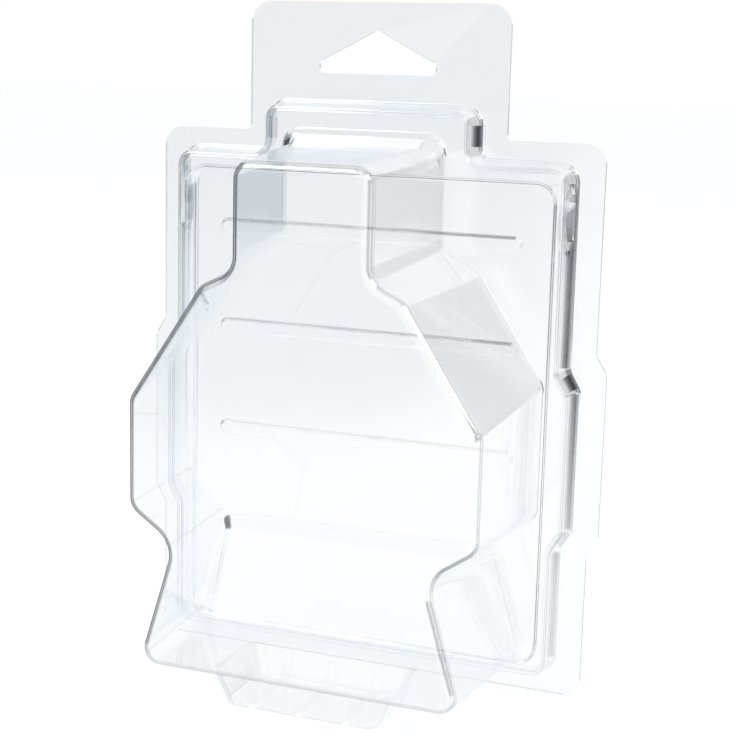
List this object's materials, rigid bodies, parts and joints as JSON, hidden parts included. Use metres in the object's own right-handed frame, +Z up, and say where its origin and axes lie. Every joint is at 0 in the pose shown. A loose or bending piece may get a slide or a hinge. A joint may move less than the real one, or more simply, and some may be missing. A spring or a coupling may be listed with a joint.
{
  "type": "plastic clamshell pack",
  "caption": "Clear thermoformed hanging clamshell with a deep stepped pocket, nested rim, snap bumps, ribbed back panel, floor foot and a triangular hang hole; the back opens on a bottom fold.",
  "frame": {"origin": "middle of the fold along the bottom edge of the two flanges, in the plane where the flanges meet", "axes": "+Z up, front of the pack faces -Y, +X to the right seen from the front"},
  "size_m": [0.1296, 0.0495, 0.1794],
  "materials": {
    "clear_sheet": "clear, glossy"
  },
  "bodies": {
    "front_half": {"front_shell": "clear_sheet"},
    "back_half": {"back_shell": "clear_sheet"}
  },
  "joints": [
    {"name": "bottom_fold", "type": "hinge", "parent": "front_half", "child": "back_half", "pos_m": [0, 0, 0], "axis": [-1, 0, 0], "range_deg": [0, 180]}
  ]
}
